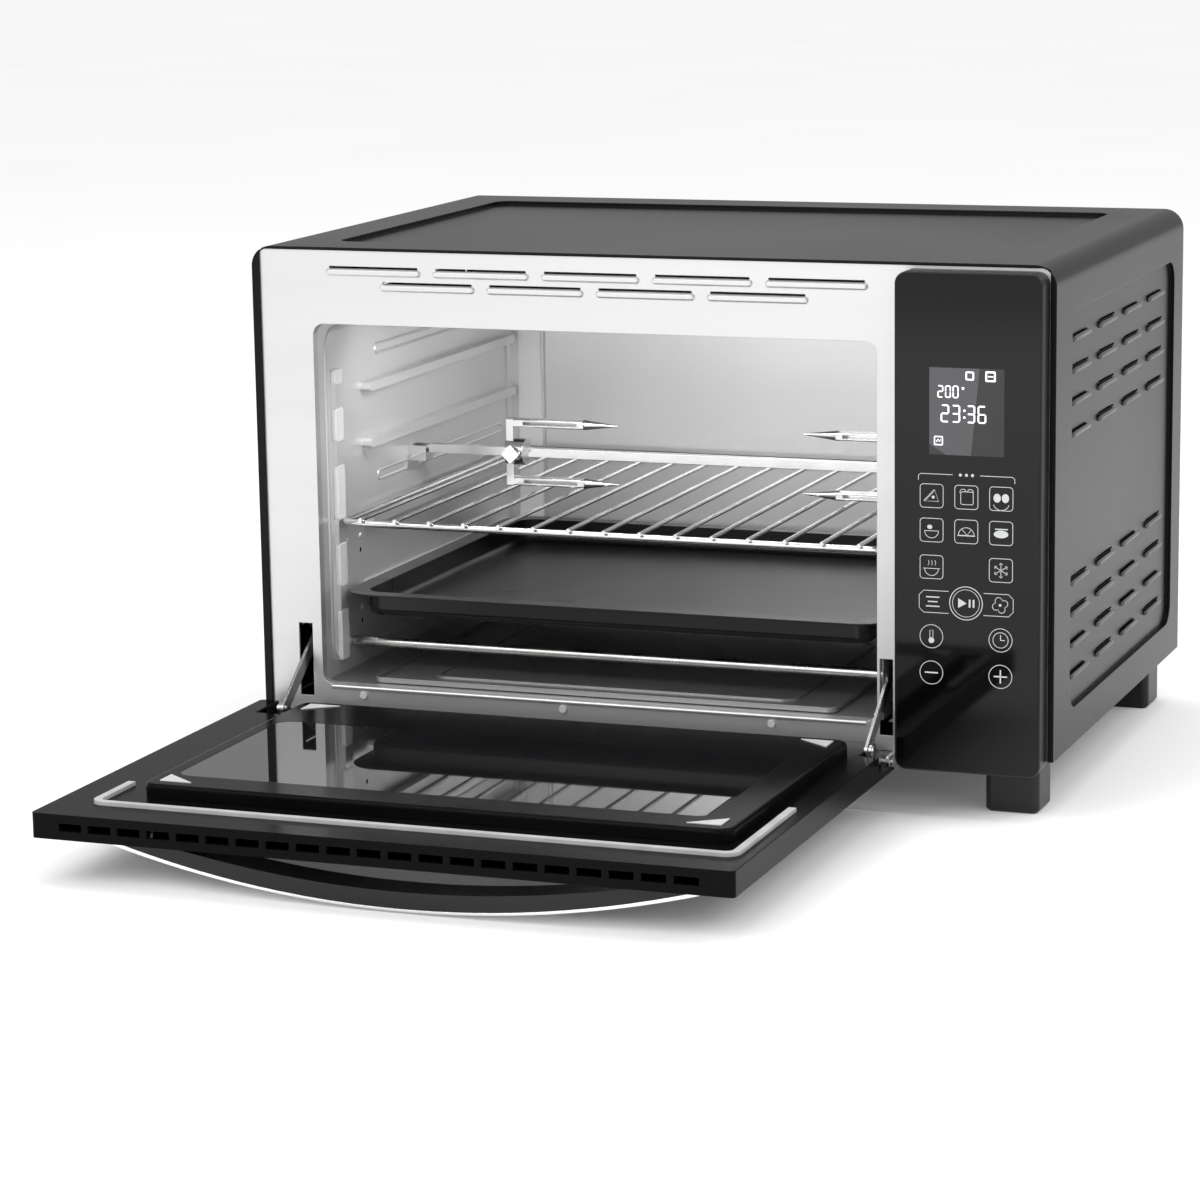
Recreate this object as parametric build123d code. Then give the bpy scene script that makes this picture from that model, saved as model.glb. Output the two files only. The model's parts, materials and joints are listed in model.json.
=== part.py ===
from build123d import *
import os
from math import cos, sin, radians, hypot, atan2, degrees

# Countertop toaster oven with its drop-down door open. Millimetres, +X to the right as seen from
# the front, the front faces -Y, +Z up. The origin is on the floor, at the middle of the plan.

# ---- driving dimensions ----
WIDTH = 560.0              # outer shell, side to side
HEIGHT = 321.0             # outer shell, bottom to top
DEPTH = 372.0              # outer shell, front to back
FOOT = 38.0                # height of the feet
SHEET = 0.8                # painted sheet
LINER = 0.6                # cavity sheet
CORNER = 14.0              # bend of the shell's two long edges

MOUTH_W = (-236.4, 161.6)  # cavity mouth, left and right
MOUTH_H = (18.9, 268.9)    # cavity mouth, above the shell's bottom
WALL_L = -238.0            # cavity side walls, inner faces
WALL_R = 163.0
CAVITY_BACK = 358.0
CEILING = 272.0
FLOOR = 19.0

DOOR_W = (-279.5, 177.0)
DOOR_H = (-8.0, 319.0)
DOOR_GAP = 3.0             # closed door to front frame, taken up by the seal
DOOR_T = 16.0
PIVOT_Y = -14.0            # door hinge line, before the front frame
PIVOT_H = -4.0             # and against the shell's bottom
WINDOW_W = (-215.0, 128.0)
WINDOW_H = (88.0, 232.0)
PLUG_W = (-231.5, 156.6)   # raised inner frame of the door, which enters the mouth
PLUG_H = (24.0, 265.0)
PLUG_T = 9.0
HANDLE_W = (-224.0, 151.0)
HANDLE_H = (290.0, 314.0)
HANDLE_OUT = 27.5
HANDLE_BAND = 12.0
GLASS_LOW = 4.0            # lower edge of the outer glass, above the hinges

PANEL_W = (178.8, 275.5)   # control panel
PANEL_H = (-7.0, 317.0)
PANEL_OUT = 19.0

RACK_H = 127.0             # heights of what the cavity holds
TRAY_H = 78.0
RUNNERS = (76.7, 123.5, 178.0, 218.0)
SPIT_Y = 165.0
SPIT_H = 159.0
PRONG_R = 21.0
FAN_Y = 290.0
FAN_H = 200.0
LAMP_Y = 60.0
LAMP_H = 240.0
TOP_HEATERS = ((100.0, 259.0), (260.0, 259.0))
BOTTOM_HEATERS = ((56.0, 38.0), (260.0, 38.0))
HEATER_R = 3.5
RUNNER_TALL = 6.5
FORK_L = -155.0            # hubs of the two forks
FORK_R = 136.0

RECESS = 3.0               # sunk fields of the shell's top and sides
SLOT_REACH = 46.0          # side louvres
SLOT_PITCH = (73.0, 20.8)  # along and up
FRONT_LOUVRE = 69.0        # length of a louvre over the mouth
BEAD_R = 1.6               # rolled lower edge of the mouth

ARM_PIN = (-1.0, 21.0)     # stands above the door's pivot and enters the frame's slot on closing
ARM_FALL = (0.80, 0.60)    # direction of the link arm, back and up
ARM_LENGTH = 74.0
PIN_R = 2.0
HINGES = {"left": (-1, -249.3), "right": (1, 168.3)}  # side, and the bracket's face
DOOR_WALL = 4.0            # edge of the door's pressed frame
DOOR_SKIN = 1.6

GLAND_OUT = 12.0           # cord inlet, behind the back cover
DOOR_REACH = DOOR_H[1] - PIVOT_H - PIVOT_Y
FRONT_Y = (DOOR_REACH - DEPTH - SHEET - GLAND_OUT) / 2

os.makedirs("parts", exist_ok=True)


# ---- helpers: heights are above the shell's bottom, depths are behind the front frame ----
def block(x, y, z):
    size = (x[1] - x[0], y[1] - y[0], z[1] - z[0])
    place = Pos((x[0] + x[1]) / 2, (y[0] + y[1]) / 2, (z[0] + z[1]) / 2)
    return place * Box(*size)


def plate_front(x, y, z, r):
    """Plate with rounded corners seen from the front."""
    face = RectangleRounded(x[1] - x[0], z[1] - z[0], r)
    place = Pos((x[0] + x[1]) / 2, y[1], (z[0] + z[1]) / 2) * Rot(90, 0, 0)
    return place * extrude(face, y[1] - y[0])


def plate_top(x, y, z, r):
    face = RectangleRounded(x[1] - x[0], y[1] - y[0], r)
    return Pos((x[0] + x[1]) / 2, (y[0] + y[1]) / 2, z[0]) * extrude(face, z[1] - z[0])


def plate_side(x, y, z, r):
    face = RectangleRounded(z[1] - z[0], y[1] - y[0], r)
    place = Pos(x[0], (y[0] + y[1]) / 2, (z[0] + z[1]) / 2) * Rot(0, 90, 0)
    return place * extrude(face, x[1] - x[0])


def rod_x(x, y, z, r):
    return Pos((x[0] + x[1]) / 2, y, z) * Rot(0, 90, 0) * Cylinder(r, x[1] - x[0])


def rod_y(x, y, z, r):
    return Pos(x, (y[0] + y[1]) / 2, z) * Rot(90, 0, 0) * Cylinder(r, y[1] - y[0])


def rod_z(x, y, z, r):
    return Pos(x, y, (z[0] + z[1]) / 2) * Cylinder(r, z[1] - z[0])


def bar_side(x, a, b, r):
    """Flat link in the side plane, with round ends at the (y, z) points a and b."""
    length = hypot(b[0] - a[0], b[1] - a[1])
    turn = degrees(atan2(b[1] - a[1], b[0] - a[0]))
    face = SlotCenterToCenter(length, 2 * r)
    mid = Pos(x[0], (a[0] + b[0]) / 2, (a[1] + b[1]) / 2)
    return mid * Rot(turn, 0, 0) * Rot(0, 90, 0) * Rot(0, 0, 90) * extrude(face, x[1] - x[0])


def opened(shape):
    """Turns a door piece from closed, as it is drawn, to fully open."""
    return Pos(0, PIVOT_Y, PIVOT_H) * Rot(90, 0, 0) * Pos(0, -PIVOT_Y, -PIVOT_H) * shape


def opened_point(y, z):
    return (PIVOT_Y - (z - PIVOT_H), PIVOT_H + (y - PIVOT_Y))


def save(name, shape):
    solids = shape if isinstance(shape, list) else [shape]
    placed = [Pos(0, FRONT_Y, FOOT) * s for piece in solids for s in piece.solids()]
    whole = Compound(children=placed) if len(placed) > 1 else placed[0]
    export_step(whole, f"parts/{name}.step")


# ---- casing ----
def outer_shell():
    y = (-1.5, DEPTH)
    half = WIDTH / 2
    outer = block((-half, half), y, (0, HEIGHT))
    outer = fillet(outer.edges().filter_by(Axis.Y).group_by(Axis.Z)[-1], CORNER)
    room = block((-half + SHEET, half - SHEET), (0, DEPTH + 1), (-1, HEIGHT - SHEET))
    room = fillet(room.edges().filter_by(Axis.Y).group_by(Axis.Z)[-1], CORNER - SHEET)
    front = block((-half + 5.6, half - 4), (-2, 1), (-1, HEIGHT - 2))
    shell = outer - room - front
    wide, deep = (-234.0, 235.5), (36.5, 333.5)
    grown = ((wide[0] - SHEET, wide[1] + SHEET), (deep[0] - SHEET, deep[1] + SHEET))
    shell += plate_top(*grown, (HEIGHT - RECESS - SHEET, HEIGHT - 0.1), 12)
    shell -= plate_top(wide, deep, (HEIGHT - RECESS, HEIGHT + 1), 11)
    run, rise = (41.0, 344.0), (24.7, 287.3)
    run_out, rise_out = (run[0] - SHEET, run[1] + SHEET), (rise[0] - SHEET, rise[1] + SHEET)
    for side in (-1, 1):
        skin = sorted((side * (half - RECESS - SHEET), side * (half - 0.1)))
        sunk = sorted((side * (half - RECESS), side * (half + 1)))
        shell += plate_side(skin, run_out, rise_out, 16)
        shell -= plate_side(sunk, run, rise, 15)
        hoods, slots = side_louvres(side)
        shell = shell + hoods - slots
    return shell


def side_louvres(side):
    """Two groups of pressed hoods with a slot above each, on the sunk field of one side."""
    face = WIDTH / 2 - RECESS
    outward = sorted((side * (face - SHEET / 2), side * (face + RECESS)))
    through = sorted((side * (face - 5), side * (face + RECESS)))
    hoods, slots = [], []
    for low in (45.5, 205.8):
        for row in range(4):
            for col in range(4):
                y0 = 52.0 + SLOT_PITCH[0] * col
                z0 = low + SLOT_PITCH[1] * row
                y = (y0 + 2.6, y0 + SLOT_REACH - 2.6)
                hood = rod_y(side * face, y, z0, 2.6)
                hood += [Pos(side * face, end, z0) * Sphere(2.6) for end in y]
                hoods.append(hood & block(outward, (y0 - 1, y0 + SLOT_REACH + 1), (z0 - 3, z0 + 3)))
                slots.append(plate_side(through, (y0 + 1, y0 + SLOT_REACH - 1), (z0 + 2, z0 + 3.4), 0.6))
    return hoods, slots


def back_cover():
    half = WIDTH / 2 - 1.5
    sheet = plate_front((-half, half), (DEPTH, DEPTH + SHEET), (1, HEIGHT - 1.5), 10)
    cuts = [rod_y(205, (DEPTH - 1, DEPTH + 3), 32, 7.1)]
    for row in range(4):
        for col in range(6):
            x0 = -205.0 + 72.0 * col
            z0 = 225.0 + 16.0 * row
            place = ((x0, x0 + 46), (DEPTH - 1, DEPTH + 3), (z0, z0 + 4.5))
            cuts.append(plate_front(*place, 2.2))
    return sheet - cuts


def base_plate():
    sheet = block((-278, 278), (2, DEPTH - 0.5), (0.2, 0.2 + SHEET))
    cuts = []
    for col in range(9):
        for row in range(3):
            x0 = -190.0 + 42.0 * col
            y0 = 75.0 + 95.0 * row
            cuts.append(plate_top((x0, x0 + 5), (y0, y0 + 48), (-1, 3), 2.4))
    return sheet - cuts


def feet():
    out = []
    for x in (-250, 250):
        for y in (26, 346):
            foot = plate_top((x - 18, x + 18), (y - 18, y + 18), (-FOOT, 0), 5)
            out.append(chamfer(foot.faces().sort_by(Axis.Z)[0].edges(), 2))
    return out


def feet_screws():
    out = []
    for x in (-250, 250):
        for y in (26, 346):
            out.append(rod_z(x, y, (SHEET + 0.2, SHEET + 2.6), 4.5))
    return out


def back_screws():
    out = []
    for x in (-268, -90, 90, 268):
        for z in (12, 308):
            head = rod_y(x, (DEPTH + SHEET, DEPTH + SHEET + 2.2), z, 3.6)
            head -= block((x - 2.4, x + 2.4), (DEPTH + SHEET + 1.2, DEPTH + 5), (z - 0.5, z + 0.5))
            head -= block((x - 0.5, x + 0.5), (DEPTH + SHEET + 1.2, DEPTH + 5), (z - 2.4, z + 2.4))
            out.append(head)
    return out


def cord_inlet():
    inner = rod_y(205, (DEPTH - 8, DEPTH), 32, 9)
    neck = rod_y(205, (DEPTH - 1, DEPTH + 3), 32, 7)
    cap_back = DEPTH + SHEET + GLAND_OUT
    collar = rod_y(205, (DEPTH + SHEET, cap_back), 32, 9.5)
    collar = chamfer(collar.faces().sort_by(Axis.Y)[-1].edges(), 3)
    return inner + neck + collar - rod_y(205, (DEPTH - 9, cap_back + 1), 32, 3.6)


# ---- front frame ----
def front_frame():
    half = WIDTH / 2 - SHEET - 0.2
    plate = block((-half, half), (0, 1.4), (0, HEIGHT - SHEET - 0.3))
    plate = fillet(plate.edges().filter_by(Axis.Y).group_by(Axis.Z)[-1], CORNER - SHEET - 0.2)
    lip = ((MOUTH_W[0] - SHEET, MOUTH_W[1] + SHEET), (1.0, 7.0), (MOUTH_H[0] - SHEET, MOUTH_H[1] + SHEET))
    plate += plate_front(*lip, 9.2)
    cuts = [plate_front(MOUTH_W, (-1, 8), MOUTH_H, 8)]
    cuts.append(block((-253.6, -243.4), (-1, 3), (10, 61)))
    cuts.append(block((163.4, 172.4), (-1, 3), (10, 61)))
    cuts.append(plate_front((192, 262), (-1, 3), (20, 300), 6))
    hoods = []
    rows = [(55.0 + 77.95 * i, 302.0) for i in range(5)]
    rows += [(94.0 + 77.6 * i, 292.0) for i in range(4)]
    for left, low in rows:
        x = (left - WIDTH / 2, left - WIDTH / 2 + FRONT_LOUVRE)
        cuts.append(plate_front((x[0] + 2, x[1] - 2), (-3, 3), (low + 4.9, low + 6.3), 0.6))
        run = (x[0] + 2.4, x[1] - 2.4)
        hood = rod_x(run, 0, low + 2.4, 2.4)
        hood += [Pos(end, 0, low + 2.4) * Sphere(2.4) for end in run]
        hoods.append(hood & block((x[0] - 3, x[1] + 3), (-2, 1), (low - 1, low + 6)))
    bead = rod_x((MOUTH_W[0] + 7, MOUTH_W[1] - 7), -0.2, MOUTH_H[0] - BEAD_R + 0.3, BEAD_R)
    return plate + hoods - cuts + (bead & block(MOUTH_W, (-2, 1.4), (10, MOUTH_H[0])))


def frame_rivets():
    out = []
    for x in (-206.0, -59.0, 89.0):
        head = Pos(x, 0, 12.6) * Sphere(2.9)
        out.append(head & block((x - 4, x + 4), (-1.3, 0), (8, 17)))
    return out


# ---- cavity ----
def runner(x, y, z):
    """One pressed ledge on a cavity wall, with a rounded nose."""
    ledge = block(x, y, (z - RUNNER_TALL, z))
    return fillet(ledge.edges().filter_by(Axis.X), 2.4)


def liner_left_side():
    wall = block((WALL_L - LINER, WALL_L), (7.4, CAVITY_BACK), (FLOOR - LINER, CEILING))
    through = (WALL_L - 2, WALL_L + 2)
    wall -= [rod_x(through, y, z, HEATER_R + 0.4) for y, z in TOP_HEATERS + BOTTOM_HEATERS]
    wall -= [rod_x(through, y, z, 2) for y in (48, 72) for z in (49, 100)]
    ledges = [runner((WALL_L, WALL_L + 8), (78, 348), z) for z in RUNNERS]
    bar = fillet(block((WALL_L, WALL_L + 3), (30, 42), (30, 232)).edges().filter_by(Axis.X), 2.5)
    return [wall] + ledges + [bar]


def liner_right_side():
    wall = block((WALL_R, WALL_R + LINER), (7.4, CAVITY_BACK), (FLOOR - LINER, CEILING))
    through = (WALL_R - 2, WALL_R + 2)
    wall -= [rod_x(through, y, z, HEATER_R + 0.4) for y, z in TOP_HEATERS + BOTTOM_HEATERS]
    wall -= [rod_x(through, SPIT_Y, SPIT_H, 6.5), rod_x(through, FAN_Y, FAN_H, 36)]
    wall -= [rod_x(through, LAMP_Y, LAMP_H, 18), rod_x(through, 338, 258, 2.9)]
    ledges = []
    for z in RUNNERS:
        far = 348 if z < 150 else 240
        near = 78 if z < 200 else 100
        ledges.append(runner((WALL_R - 8, WALL_R), (near, far), z))
    return [wall] + ledges


def liner_top():
    sheet = block((WALL_L, WALL_R), (7.4, CAVITY_BACK), (CEILING, CEILING + LINER))
    top, skin = CEILING + 4, 0.8
    x, y = (WALL_L + 60, WALL_R - 60), (60, 300)
    press = block(x, y, (CEILING + LINER - 0.1, top))
    press = fillet(press.edges().group_by(Axis.Z)[-1], 2)
    room = block((x[0] + skin, x[1] - skin), (y[0] + skin, y[1] - skin), (CEILING - 1, top - skin))
    return sheet + press - room


def liner_bottom():
    return block((WALL_L, WALL_R), (7.4, CAVITY_BACK), (FLOOR - LINER, FLOOR))


def liner_back():
    sheet = block((WALL_L, WALL_R), (CAVITY_BACK, CAVITY_BACK + LINER), (FLOOR, CEILING))
    x, z, skin = (-209.5, 135.0), (42.0, 250.0), 1.2
    press = plate_front(x, (CAVITY_BACK - 5, CAVITY_BACK + 0.1), z, 12)
    press = fillet(press.faces().sort_by(Axis.Y)[0].edges(), 3)
    room_y = (CAVITY_BACK - 5 + 0.8, CAVITY_BACK + 2)
    room = plate_front((x[0] + skin, x[1] - skin), room_y, (z[0] + skin, z[1] - skin), 12 - skin)
    return sheet + press - room


def crumb_tray():
    x, y = (-204.0, 129.0), (12.0, 250.0)
    pan = plate_top(x, y, (FLOOR + 0.5, FLOOR + 4.0), 6)
    pan -= plate_top((x[0] + 1, x[1] - 1), (y[0] + 1, y[1] - 1), (FLOOR + 1.2, FLOOR + 5), 5)
    bead = plate_top((x[0] + 34, x[1] - 34), (y[0] + 22, y[1] - 20), (FLOOR + 1.1, FLOOR + 2.4), 12)
    bead -= plate_top((x[0] + 37, x[1] - 37), (y[0] + 25, y[1] - 23), (FLOOR + 1, FLOOR + 3), 10)
    return pan + bead


def heaters(places):
    return [rod_x((WALL_L - 14, WALL_R + 14), y, z, HEATER_R) for y, z in places]


def heater_insulators():
    out = []
    for y, z in TOP_HEATERS + BOTTOM_HEATERS:
        for x in ((WALL_L - 12, WALL_L - LINER), (WALL_R + LINER, WALL_R + 12)):
            out.append(rod_x(x, y, z, 6.5) - rod_x((x[0] - 1, x[1] + 1), y, z, HEATER_R + 0.05))
    return out


def temperature_probe():
    bulb = rod_x((WALL_R - 40, WALL_R + 14), 338, 258, 2.6)
    return fillet(bulb.faces().sort_by(Axis.X)[0].edges(), 2)


def thermal_cutout():
    disc = rod_z(-30, 180, (CEILING + 4, CEILING + 14), 8)
    return disc + block((-45, -15), (175, 185), (CEILING + 4, CEILING + 5))


def lamp_lens():
    lens = rod_x((WALL_R - 3, WALL_R), LAMP_Y, LAMP_H, 21)
    return fillet(lens.faces().sort_by(Axis.X)[0].edges(), 2)


def lamp_holder():
    cup = rod_x((WALL_R + LINER, WALL_R + 40), LAMP_Y, LAMP_H, 20)
    return cup - rod_x((WALL_R, WALL_R + 38), LAMP_Y, LAMP_H, 18.5)


def lamp_bulb():
    neck = rod_x((WALL_R + 24, WALL_R + 38), LAMP_Y, LAMP_H, 6)
    body = rod_x((WALL_R + 8, WALL_R + 25), LAMP_Y, LAMP_H, 9)
    return fillet(body.faces().sort_by(Axis.X)[0].edges(), 6) + neck


# ---- what slides in the cavity ----
def wire_rack():
    r, thin = 2.5, 1.5
    left, right, front, back = WALL_L + 6.0, WALL_R - 6.0, 30.0, 348.0
    corners = [(left, front), (right, front), (right, back), (left, back)]
    loop = FilletPolyline(*[(x, y, RACK_H) for x, y in corners], radius=7, close=True)
    mid = (left + right) / 2
    ring = sweep(Plane((mid, front, RACK_H), x_dir=(0, 1, 0), z_dir=(1, 0, 0)) * Circle(r), loop)
    rail_h = RACK_H + 5.0
    rail = rod_x((left + 8, right - 8), 342, rail_h, 1.8)
    count, pitch = 15, 25.6
    for i in range(count):
        x = mid + (i - (count - 1) / 2) * pitch
        ring += rod_y(x, (25, back), RACK_H + 3.1, thin)
        ring += rod_z(x, 342, (RACK_H + 3.1, rail_h), thin)
    return ring + rail


def baking_tray():
    wide, deep = (WALL_L + 4.0, WALL_R - 4.0), (24.0, 346.0)
    inner_w, inner_d = (wide[0] + 14, wide[1] - 14), (deep[0] + 12, deep[1] - 12)
    rim = plate_top(wide, deep, (TRAY_H - 1.0, TRAY_H), 22)
    skin, sunk = 0.8, 16.0
    pan_w, pan_d = (inner_w[0] - skin, inner_w[1] + skin), (inner_d[0] - skin, inner_d[1] + skin)
    pan = plate_top(pan_w, pan_d, (TRAY_H - sunk - skin, TRAY_H - 0.5), 13 + skin)
    pan = fillet(pan.edges().group_by(Axis.Z)[0], 5)
    room = plate_top(inner_w, inner_d, (TRAY_H - sunk, TRAY_H + 1), 13)
    room = fillet(room.edges().group_by(Axis.Z)[0], 4.4)
    return rim + pan - room


# ---- rotisserie ----
def spit_bracket():
    foot = block((WALL_L, WALL_L + 1.2), (SPIT_Y - 10, SPIT_Y + 10), (SPIT_H - 16, SPIT_H - 5))
    cup = block((WALL_L, WALL_L + 14), (SPIT_Y - 6.5, SPIT_Y + 6.5), (SPIT_H - 9, SPIT_H + 2))
    slot = block((WALL_L + 2, WALL_L + 20), (SPIT_Y - 3.4, SPIT_Y + 3.4), (SPIT_H, SPIT_H + 5))
    return foot + cup - rod_x((WALL_L + 2, WALL_L + 20), SPIT_Y, SPIT_H, 3.4) - slot


def spit_rod():
    size = 6.4
    y, z = (SPIT_Y - size / 2, SPIT_Y + size / 2), (SPIT_H - size / 2, SPIT_H + size / 2)
    bar = block((WALL_L + 15, WALL_R - 9), y, z)
    return bar + rod_x((WALL_L + 3, WALL_L + 16), SPIT_Y, SPIT_H, 3.1)


def spit_fork(x, way):
    """Fork whose hub is centred on x; way is +1 where its prongs point to the right."""
    half, wide = 2.8, 4.8
    hub = rod_x((x - 7, x + 7), SPIT_Y, SPIT_H, 9.5)
    bar_x = sorted((x - way * 7, x - way * 1.5))
    deep = (SPIT_Y - wide, SPIT_Y + wide)
    fork = hub + block(bar_x, deep, (SPIT_H - PRONG_R - half, SPIT_H + PRONG_R + half))
    for up in (-1, 1):
        z = SPIT_H + up * PRONG_R
        run = sorted((x - way * 7, x + way * 52))
        prong = fillet(block(run, deep, (z - half, z + half)).edges().filter_by(Axis.X), 0.8)
        trough = sorted((x + way * 6, x + way * 47))
        prong -= block(trough, (deep[0] - 1, SPIT_Y + wide - 2), (z - 1.2, z + 1.2))
        tip = Pos(x + way * 64, SPIT_Y, z) * Rot(0, 90 * way, 0) * Cone(3.7, 0.4, 26)
        fork += prong + tip
    fork -= rod_y(x, (SPIT_Y - 11, SPIT_Y - 3), SPIT_H, 1.95)
    bore = 3.25
    return fork - block((x - 9, x + 9), (SPIT_Y - bore, SPIT_Y + bore), (SPIT_H - bore, SPIT_H + bore))


def fork_screws():
    out = []
    for x in (FORK_L, FORK_R):
        shank = rod_y(x, (SPIT_Y - 12, SPIT_Y - 3.3), SPIT_H, 1.9)
        head = Pos(x, SPIT_Y - 13.5, SPIT_H) * Rot(0, 45, 0) * Box(10, 3.5, 10)
        out.append(shank + fillet(head.edges().filter_by(Axis.Y), 1.2))
    return out


def spit_drive_socket():
    cup = rod_x((WALL_R - 14, WALL_R - 2), SPIT_Y, SPIT_H, 8.5)
    hole = (SPIT_Y - 3.3, SPIT_Y + 3.3), (SPIT_H - 3.3, SPIT_H + 3.3)
    return cup - block((WALL_R - 15, WALL_R - 6), *hole) + rod_x((WALL_R - 3, WALL_R + 9), SPIT_Y, SPIT_H, 4)


def spit_motor():
    case = rod_x((WALL_R + 10, WALL_R + 28), SPIT_Y, SPIT_H, 22)
    ears = block((WALL_R + 10, WALL_R + 11.5), (SPIT_Y - 32, SPIT_Y + 32), (SPIT_H - 6, SPIT_H + 6))
    legs = [rod_x((WALL_R + LINER, WALL_R + 10), SPIT_Y + s * 28, SPIT_H, 3) for s in (-1, 1)]
    return case + ears + legs


# ---- convection fan ----
def fan_guard():
    disc = rod_x((WALL_R - 1.5, WALL_R), FAN_Y, FAN_H, 38)
    cuts = []
    for ring, count in ((12, 6), (20, 10), (28, 16)):
        for i in range(count):
            turn = radians(360 / count * i)
            y, z = FAN_Y + ring * cos(turn), FAN_H + ring * sin(turn)
            cuts.append(rod_x((WALL_R - 3, WALL_R + 1), y, z, 2.6))
    return disc - cuts


def fan_housing():
    cup = rod_x((WALL_R + LINER, WALL_R + 20), FAN_Y, FAN_H, 38)
    cup -= rod_x((WALL_R, WALL_R + 19), FAN_Y, FAN_H, 36.5)
    return cup - rod_x((WALL_R, WALL_R + 22), FAN_Y, FAN_H, 3.5)


def fan_blade():
    wheel = rod_x((WALL_R + 8, WALL_R + 9), FAN_Y, FAN_H, 14)
    wheel += rod_x((WALL_R + 6, WALL_R + 29), FAN_Y, FAN_H, 2.5)
    for i in range(6):
        vane = Pos(0, 0, 20) * Rot(0, 0, 35) * Box(1, 14, 22)
        wheel += Pos(WALL_R + 9, FAN_Y, FAN_H) * Rot(60 * i, 0, 0) * vane
    return wheel


def fan_motor():
    can = rod_x((WALL_R + 30, WALL_R + 56), FAN_Y, FAN_H, 24)
    legs = [rod_x((WALL_R + 20, WALL_R + 34), FAN_Y, FAN_H + s * 21, 2.5) for s in (-1, 1)]
    return can + legs


# ---- controls ----
def control_bezel():
    x, z = PANEL_W, PANEL_H
    box = plate_front(x, (-PANEL_OUT, -0.2), z, 8)
    box = fillet(box.faces().sort_by(Axis.Y)[0].edges(), 1.0)
    room = plate_front((x[0] + 2.4, x[1] - 2.4), (-PANEL_OUT + 4.2, 0), (z[0] + 2.4, z[1] - 2.4), 5.6)
    seat_y = (-PANEL_OUT - 1, -PANEL_OUT + 2.6)
    seat = plate_front((x[0] + 1.2, x[1] - 1.2), seat_y, (z[0] + 1.2, z[1] - 1.2), 6.8)
    view = plate_front((x[0] + 8, x[1] - 8), (-PANEL_OUT, 0), (z[0] + 14, z[1] - 30), 4)
    return box - room - seat - view


def control_glass():
    x, z = PANEL_W, PANEL_H
    y = (-PANEL_OUT, -PANEL_OUT + 2.5)
    return plate_front((x[0] + 1.3, x[1] - 1.3), y, (z[0] + 1.3, z[1] - 1.3), 6.7)


def display_module():
    return plate_front((202, 251), (-16.3, -12.2), (200.7, 256.6), 1.5)


def touch_board():
    board = block((188.5, 266), (-12, -10.4), (12, 284))
    pads = [rod_y(x, (-16.3, -12), z, 5) for x in (204.1, 226.9, 249.6) for z in (172.5, 150.4)]
    pads += [rod_y(x, (-16.3, -12), z, 5) for x in (204.1, 249.6) for z in (126.4, 104.0, 81.0, 57.0)]
    return board + pads + rod_y(226.9, (-16.3, -12), 104, 8)


def bay_shield():
    sheet = block((224, 224.8), (24, 350), (8, 300))
    flange = block((224, 236), (24, 350), (7.2, 8))
    return sheet + flange - [rod_x((222, 227), FAN_Y, 60 + 14 * i, 4) for i in range(5)]


def power_board():
    board = block((236, 237.6), (60, 230), (60, 240))
    parts = [block((237.6, 256), (75 + 32 * i, 98 + 32 * i), (196, 224)) for i in range(4)]
    parts += [rod_x((237.6, 262), 100 + 40 * i, 110, 9) for i in range(3)]
    legs = [rod_x((224.8, 236), y, z, 3) for y in (66, 224) for z in (66, 234)]
    return board + parts + legs


# ---- door ----
def door_frame():
    face = -DOOR_GAP - DOOR_T
    body = plate_front(DOOR_W, (face, -DOOR_GAP), DOOR_H, 3)
    inside_x = (DOOR_W[0] + DOOR_WALL, DOOR_W[1] - DOOR_WALL)
    inside_z = (DOOR_H[0] + 20, DOOR_H[1] - DOOR_WALL)
    body -= plate_front(inside_x, (face - 1, -DOOR_GAP - DOOR_SKIN), inside_z, 3)
    rebate = (face - 1, face + 3.6)
    body -= plate_front((DOOR_W[0] + 2, DOOR_W[1] - 2), rebate, (GLASS_LOW - 0.2, DOOR_H[1] - 2), 2)
    body -= plate_front(WINDOW_W, (-8, 0), WINDOW_H, 8)
    vents = []
    for i in range(21):
        x0 = -260.2 + 20.0 * i
        vents.append(block((x0, x0 + 15.5), (face + 5.5, face + 10.5), (DOOR_H[1] - 12, DOOR_H[1] + 1)))
    body -= vents
    for x in ((-266, -243), (163.4, 178)):
        body -= block(x, (face + 3.7, 0), (DOOR_H[0] - 1, 30))
        body -= block(x, (face + 0.8, 0), (DOOR_H[0] - 1, 2))
    return opened(body)


def door_outer_glass():
    face = -DOOR_GAP - DOOR_T
    x, z = (DOOR_W[0] + 2.2, DOOR_W[1] - 2.2), (GLASS_LOW, DOOR_H[1] - 2.2)
    return opened(plate_front(x, (face, face + 3.5), z, 1.8))


def door_inner_frame():
    body = plate_front(PLUG_W, (-DOOR_GAP, -DOOR_GAP + PLUG_T), PLUG_H, 10)
    body = fillet(body.faces().sort_by(Axis.Y)[-1].edges(), 2.5)
    room_x, room_z = (PLUG_W[0] + 3, PLUG_W[1] - 3), (PLUG_H[0] + 3, PLUG_H[1] - 3)
    body -= plate_front(room_x, (-DOOR_GAP - 1, -DOOR_GAP + PLUG_T - 3.8), room_z, 7)
    body -= plate_front(WINDOW_W, (-5, 9), WINDOW_H, 8)
    seat_x, seat_z = (WINDOW_W[0] - 6, WINDOW_W[1] + 6), (WINDOW_H[0] - 6, WINDOW_H[1] + 6)
    return opened(body - plate_front(seat_x, (-DOOR_GAP + PLUG_T - 1.6, 9), seat_z, 10))


def door_inner_glass():
    top = -DOOR_GAP + PLUG_T
    x, z = (WINDOW_W[0] - 5.8, WINDOW_W[1] + 5.8), (WINDOW_H[0] - 5.8, WINDOW_H[1] + 5.8)
    return opened(plate_front(x, (top - 1.6, top - 0.1), z, 9.8))


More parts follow.
